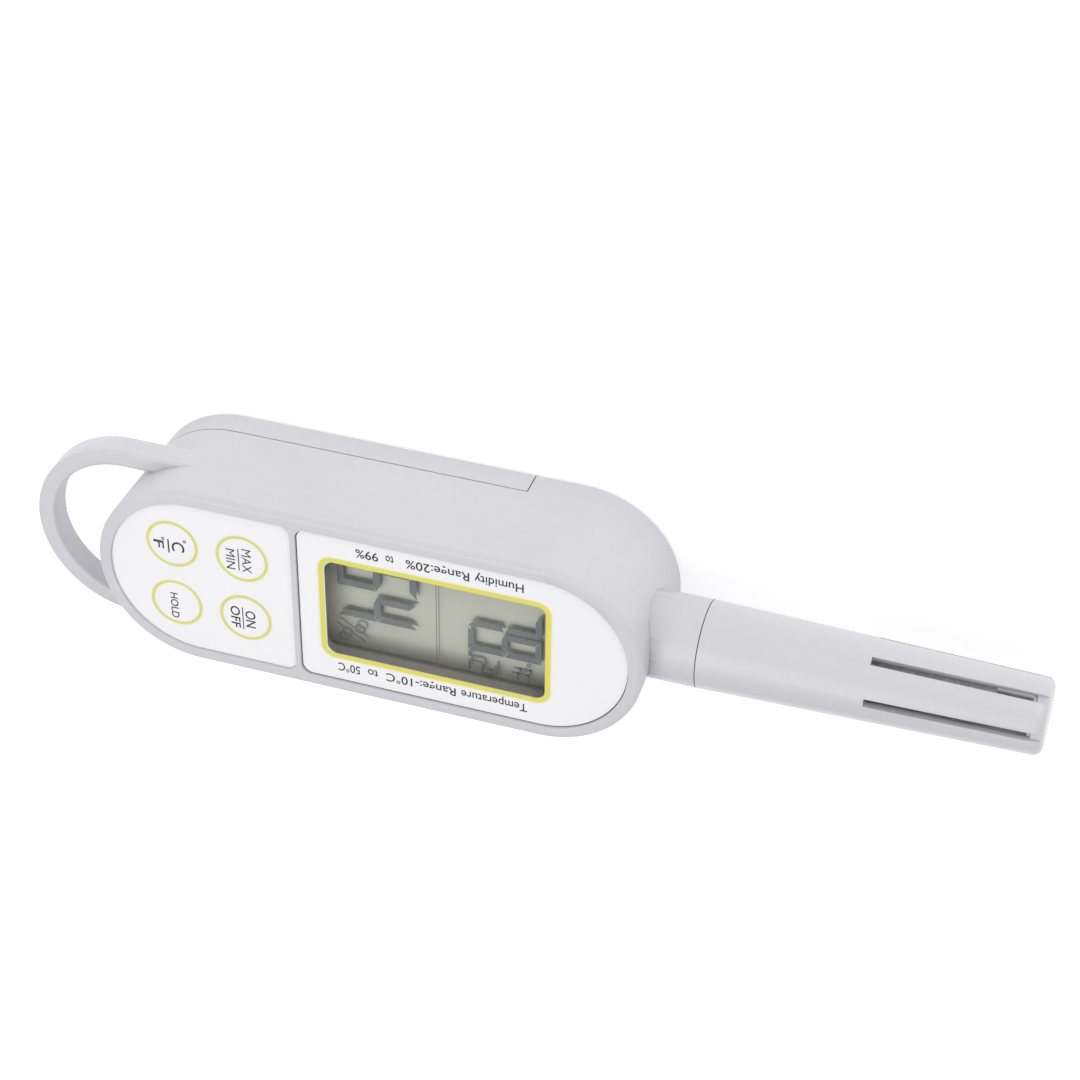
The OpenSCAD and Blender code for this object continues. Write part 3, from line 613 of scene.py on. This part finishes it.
def ring_quads(x, y, radius=0.28, wide=0.22, count=16):
    """A small ring of quads, in mm; as it stands, a key's degree sign."""
    turns = [2 * math.pi * i / count for i in range(count + 1)]
    return [[(x + r * math.cos(t), y + r * math.sin(t))
             for r, t in ((radius - wide / 2, a), (radius + wide / 2, a),
                          (radius + wide / 2, b), (radius - wide / 2, b))]
            for a, b in zip(turns, turns[1:])]


def bar(x, y0, y1, wide):
    """A bar along y, in mm."""
    return [(x - wide / 2, y0), (x + wide / 2, y0), (x + wide / 2, y1), (x - wide / 2, y1)]


# the ways that the print runs and stands
DOWN_Y, ALONG_X, BACK_X = Vector((0, -1, 0)), Vector((1, 0, 0)), Vector((-1, 0, 0))

# the bold M fills in, so the MAX and MIN legend is left thin
print_words("legend_max_min", [("MAX", (-26.8, 10.45), 6.1, 2.1), ("MIN", (-30.35, 9.8), 5.2, 2.05)],
            DOWN_Y, ALONG_X, "key_max_min_cap", "key_cap",
            [bar(-27.55, 10.3, 4.55, 0.24)], weight=0.0)
print_words("legend_power", [("ON", (-26.8, -5.85), 4.4, 2.2), ("OFF", (-30.15, -5.3), 5.65, 2.05)],
            DOWN_Y, ALONG_X, "key_power_cap", "key_cap",
            [bar(-27.45, -5.2, -11.15, 0.22)])
print_words("legend_unit", [("C", (-42.55, 8.5), 2.5, 2.75), ("F", (-46.7, 8.1), 2.0, 2.3)],
            DOWN_Y, ALONG_X, "key_unit_cap", "key_cap",
            [bar(-43.35, 8.85, 5.3, 0.34)] + ring_quads(-39.6, 9.04) + ring_quads(-44.5, 8.73))
print_words("legend_hold", [("HOLD", (-43.95, -5.4), 6.7, 1.7)],
            DOWN_Y, ALONG_X, "key_hold_cap", "key_cap")

print_words("legend_humidity", [("Humidity", (34.5, 16.85), 10.4, 2.1),
                                ("Range:20%", (23.0, 16.85), 13.6, 2.1),
                                ("to", (6.85, 16.85), 1.75, 2.1), ("99%", (3.5, 16.85), 4.9, 2.1)],
            BACK_X, DOWN_Y, "meter", "printed_mask")
print_words("legend_temperature", [("Temperature", (35.5, -14.4), 14.4, 2.1),
                                   ("Range:-10°C", (19.9, -14.4), 15.4, 2.1),
                                   ("to", (2.7, -14.4), 2.3, 2.1),
                                   ("50°C", (-1.3, -14.4), 4.95, 2.1)],
            BACK_X, DOWN_Y, "meter", "printed_mask")

# cover of ink across a key ring and across the window's frame line, as (offset in mm, share)
RING_SPREAD = ((-0.74, 0.0), (-0.42, 0.22), (-0.26, 0.9), (0.0, 1.0), (0.26, 0.9), (0.42, 0.22),
               (0.74, 0.0))
WINDOW_SPREAD = ((-0.66, 1.0), (-0.46, 1.0), (0.36, 1.0), (0.5, 0.75), (0.72, 0.22), (1.2, 0.0))


def soft_line(name, outline, spread, finish, slot):
    """A printed line that follows outline(offset), its cover of ink falling off at both edges."""
    bm = bmesh.new()
    cover = bm.verts.layers.float.new("cover")
    loops = []
    for offset, share in spread:
        ring = [bm.verts.new((x, y, FILM_TOP + INK_THICK)) for x, y in outline(offset * MM)]
        for v in ring:
            v[cover] = share
        loops.append(ring)
    under = [[bm.verts.new((v.co.x, v.co.y, FILM_TOP)) for v in ring]
             for ring in (loops[0], loops[-1])]
    loops = [under[0]] + loops + [under[1]]
    for a, b in zip(loops, loops[1:] + loops[:1]):
        for i in range(len(a)):
            j = (i + 1) % len(a)
            bm.faces.new((a[i], a[j], b[j], b[i]))
    piece(name, mesh_of(bm, name), finish, "meter", slot)


def outline_of(node):
    """The closed edge round a CAD node's top face that is longest along x, as (x, y) points."""
    bm = bmesh.new()
    bm.from_mesh(NODES[node].data)
    bmesh.ops.remove_doubles(bm, verts=bm.verts, dist=WELD)
    high = max(v.co.z for v in bm.verts)
    top = {f for f in bm.faces if all(abs(v.co.z - high) < WELD for v in f.verts)}
    rim = {}
    for face in top:
        for loop in face.loops:
            if sum(linked in top for linked in loop.edge.link_faces) == 1:
                rim[loop.vert] = loop.link_loop_next.vert
    lines = []
    while rim:
        first, here = rim.popitem()
        line = [first]
        while here is not first:
            line.append(here)
            here = rim.pop(here)
        lines.append([(v.co.x, v.co.y) for v in line])
    bm.free()
    return max(lines, key=lambda line: max(x for x, y in line) - min(x for x, y in line))


def moved_out(line, distance):
    """The outline pushed outwards; it runs anticlockwise, seen from above."""
    # a tight corner moves at most twice the distance
    least_turn = 0.5
    out = []
    for i, (x, y) in enumerate(line):
        (x0, y0), (x1, y1) = line[i - 1], line[(i + 1) % len(line)]
        a, b = Vector((x - x0, y - y0)).normalized(), Vector((x1 - x, y1 - y)).normalized()
        both = Vector((a.y + b.y, -a.x - b.x)).normalized()
        reach = distance / max(least_turn, both.dot(Vector((a.y, -a.x))))
        out.append((x + both.x * reach, y + both.y * reach))
    return out


# bands in the gaps round the two films, round the lens a dark band of painted shadow and round the key
# overlay a pale bead: depth of the bottom and top below the film, and width
BEAD_GAP = 0.01 * MM
for node_name, tag, finish, low, high, wide in (
        ("lens_mask", "lens_gap_shadow", "gap_shadow", 1.1 * MM, 0.05 * MM, 0.18 * MM),
        ("key_overlay", "overlay_bead", "overlay", 0.2 * MM, 0.06 * MM, 0.17 * MM)):
    line = outline_of(node_name)
    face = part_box(node_name)[1].z
    mesh = band(tag, moved_out(line, wide), moved_out(line, BEAD_GAP), face - low, face - high)
    piece(tag, mesh, finish, "meter", SLOT_OF[node_name])

# key centres, the rings' radius and the window's frame line, in mm
KEYS = {"unit": (-42.5, 7.8), "hold": (-42.5, -7.8), "max_min": (-26.8, 7.8), "power": (-26.8, -7.8)}
KEY_RING_R = 5.5
WINDOW_X0, WINDOW_X1, WINDOW_Y, WINDOW_CORNER = -9.28, 39.88, 12.68, 2.65
for key, (x, y) in KEYS.items():
    soft_line("key_ring_" + key, lambda d, x=x, y=y: circle(x * MM, y * MM, KEY_RING_R * MM + d),
              RING_SPREAD, "ring_ink", "overlay_film")
soft_line("window_line",
          lambda d: rounded(WINDOW_X0 * MM - d, WINDOW_X1 * MM + d, -WINDOW_Y * MM - d,
                            WINDOW_Y * MM + d, WINDOW_CORNER * MM + d),
          WINDOW_SPREAD, "frame_ink", "printed_mask")


# ---------------------------------------------------------------- display


def seven(digit, left, low, wide, high, upright, flat, gap=0.07):
    """Outlines of one seven-segment digit, in mm. It reads towards -y and stands up along +x."""
    mid = high / 2
    bars = {
        "a": [(gap, high), (wide - gap, high), (wide - upright, high - flat), (upright, high - flat)],
        "d": [(gap, 0), (wide - gap, 0), (wide - upright, flat), (upright, flat)],
        "g": [(gap, mid), (upright, mid + flat / 2), (wide - upright, mid + flat / 2),
              (wide - gap, mid), (wide - upright, mid - flat / 2), (upright, mid - flat / 2)],
        "f": [(0, high - 2 * gap), (0, mid + 2 * gap), (upright - gap, mid + flat / 2 + 2 * gap),
              (upright - gap, high - flat - 2 * gap)],
        "e": [(0, 2 * gap), (0, mid - 2 * gap), (upright - gap, mid - flat / 2 - 2 * gap),
              (upright - gap, flat + 2 * gap)],
    }
    bars["b"] = [(wide - u, v) for u, v in bars["f"]]
    bars["c"] = [(wide - u, v) for u, v in bars["e"]]
    lit = {2: "abged", 4: "fgbc", 5: "afgcd", 7: "abc", 9: "abcdfg"}[digit]
    return [[(low + v, left - u) for u, v in bars[s]] for s in lit]


def stroke(points, wide):
    """A polyline in mm, with one thin quad for each stretch."""
    out = []
    for (x0, y0), (x1, y1) in zip(points, points[1:]):
        dx, dy = x1 - x0, y1 - y0
        size = math.hypot(dx, dy)
        nx, ny = -dy / size * wide / 2, dx / size * wide / 2
        ex, ey = dx / size * wide / 2, dy / size * wide / 2
        out.append([(x0 - ex + nx, y0 - ey + ny), (x0 - ex - nx, y0 - ey - ny),
                    (x1 + ex - nx, y1 + ey - ny), (x1 + ex + nx, y1 + ey + ny)])
    return out


def reading():
    """The lit shapes: 79.2 degrees F, then 54 %, then the thin line between the two."""
    hot = {"low": 21.05, "wide": 6.0, "high": 15.9, "upright": 1.55, "flat": 1.3}
    damp = {"low": -7.65, "wide": 6.5, "high": 17.55, "upright": 1.75, "flat": 1.55}
    line, ring_steps = 0.42, 20
    shapes = seven(7, 5.5, **hot) + seven(9, -1.05, **hot)
    shapes += stroke([(21.55, -7.75), (21.55, -8.3)], 0.9)
    shapes += seven(2, -9.4, 21.1, 3.3, 6.4, 0.62, 0.62, 0.05)
    shapes += ring_quads(33.8, -9.2, 0.42, 0.26, ring_steps)
    shapes += stroke([(30.8, -10.5), (34.2, -10.5), (34.2, -12.3)], line)
    shapes += stroke([(32.0, -10.5), (32.0, -12.2)], line)
    shapes += seven(5, 9.45, **damp) + seven(4, 1.4, **damp)
    shapes += ring_quads(-2.9, -8.05, 1.05, line, ring_steps)
    shapes += ring_quads(-6.4, -10.7, 1.0, line, ring_steps)
    shapes += stroke([(-1.9, -11.0), (-7.8, -7.5)], line)
    shapes += stroke([(14.15, 11.9), (14.15, -11.9)], 0.16)
    return in_metres(shapes)


# a sheet just inside the glass's lower face and its edges
glass_low, glass_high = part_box("lcd_glass")
inset, corner, sheet_low, sheet_top = 0.1 * MM, 0.3 * MM, 0.02 * MM, 0.17 * MM
sheet = rounded(glass_low.x + inset, glass_high.x - inset, glass_low.y + inset,
                glass_high.y - inset, corner, 4)
piece("lcd_rear_sheet",
      plates("lcd_rear_sheet", [sheet], glass_low.z + sheet_low, glass_low.z + sheet_top),
      "reflector", "meter", "lcd_glass")

# the reading lies just under the glass's upper face, and a painted shadow of it deeper in the glass
SEGMENT_THICK, SEGMENT_DEPTH, SHADE_DEPTH = 0.02 * MM, 0.06 * MM, 1.55 * MM
for tag, finish, depth in (("lcd_segments", "segment", SEGMENT_DEPTH),
                           ("lcd_shade", "painted_shadow", SHADE_DEPTH)):
    face = glass_high.z - depth
    mesh = plates(tag, reading(), face - SEGMENT_THICK, face)
    piece(tag, mesh, finish, "meter", "lcd_glass")


# ---------------------------------------------------------------- stage and camera

# a light table: the floor glows a little, so shadows stay faint
FLOOR_GLOW = 0.34
SKY = 0.62
KEY_POWER = 9.8
TOP_POWER = 7.0
stage = bpy.data.meshes.new("studio_floor")
reach, low = 3.0, -0.2 * MM
stage.from_pydata([(-reach, -reach, low), (reach, -reach, low), (reach, reach, low), (-reach, reach, low)],
                  [], [(0, 1, 2, 3)])
floor = bpy.data.objects.new("studio_floor", stage)
bpy.context.scene.collection.objects.link(floor)
f = Finish("floor_paper")
paper = f.mix(f.between(f.noise(6, 2), 0.3, 0.7), (0.90, 0.90, 0.90), (0.93, 0.93, 0.93))
f.principled(paper, f.between(f.noise(6, 2), 0.3, 0.7, 0.85, 0.95), Specular_IOR_Level=0.1,
             Emission_Color=(1, 1, 1, 1), Emission_Strength=FLOOR_GLOW)
stage.materials.append(f.mat)

world = bpy.data.worlds.new("studio")
world.use_nodes = True
world.node_tree.nodes["Background"].inputs[0].default_value = (1.0, 1.0, 1.0, 1)
world.node_tree.nodes["Background"].inputs[1].default_value = SKY
bpy.context.scene.world = world


def softbox(name, place, target, size, power):
    """A rectangular area light at place, turned towards target."""
    light = bpy.data.lights.new(name, "AREA")
    light.shape = "RECTANGLE"
    light.size, light.size_y = size
    light.energy = power
    obj = bpy.data.objects.new(name, light)
    bpy.context.scene.collection.objects.link(obj)
    obj.location = place
    obj.rotation_euler = (Vector(target) - Vector(place)).to_track_quat("-Z", "Y").to_euler()


LIT_POINT = (0.03, 0, 0.02)
softbox("key_light", (0.75, 1.45, 0.85), LIT_POINT, (1.3, 1.0), KEY_POWER)
softbox("top_light", (-0.3, -0.1, 1.2), LIT_POINT, (1.0, 1.0), TOP_POWER)

# the view that was fitted to the photograph: lens, place, and the picture's right and back
LENS = 89.21
CAMERA_AT = Vector((0.16342, 0.34882, 0.42625))
RIGHT, BACK = Vector((0.9501, 0.0121, -0.3116)), Vector((0.2398, 0.6103, 0.7550))
camera_data = bpy.data.cameras.new("photo_camera")
camera_data.lens = LENS
camera_data.sensor_width = 36
camera_data.clip_start = 0.01
camera_data.clip_end = 20
camera = bpy.data.objects.new("photo_camera", camera_data)
bpy.context.scene.collection.objects.link(camera)
right = RIGHT.normalized()
back = (BACK - right * BACK.dot(right)).normalized()
top = back.cross(right)
view = Matrix((right, top, back)).transposed().to_4x4()
view.translation = CAMERA_AT
camera.matrix_world = view
bpy.context.scene.camera = camera
bpy.context.scene.view_settings.view_transform = "Standard"
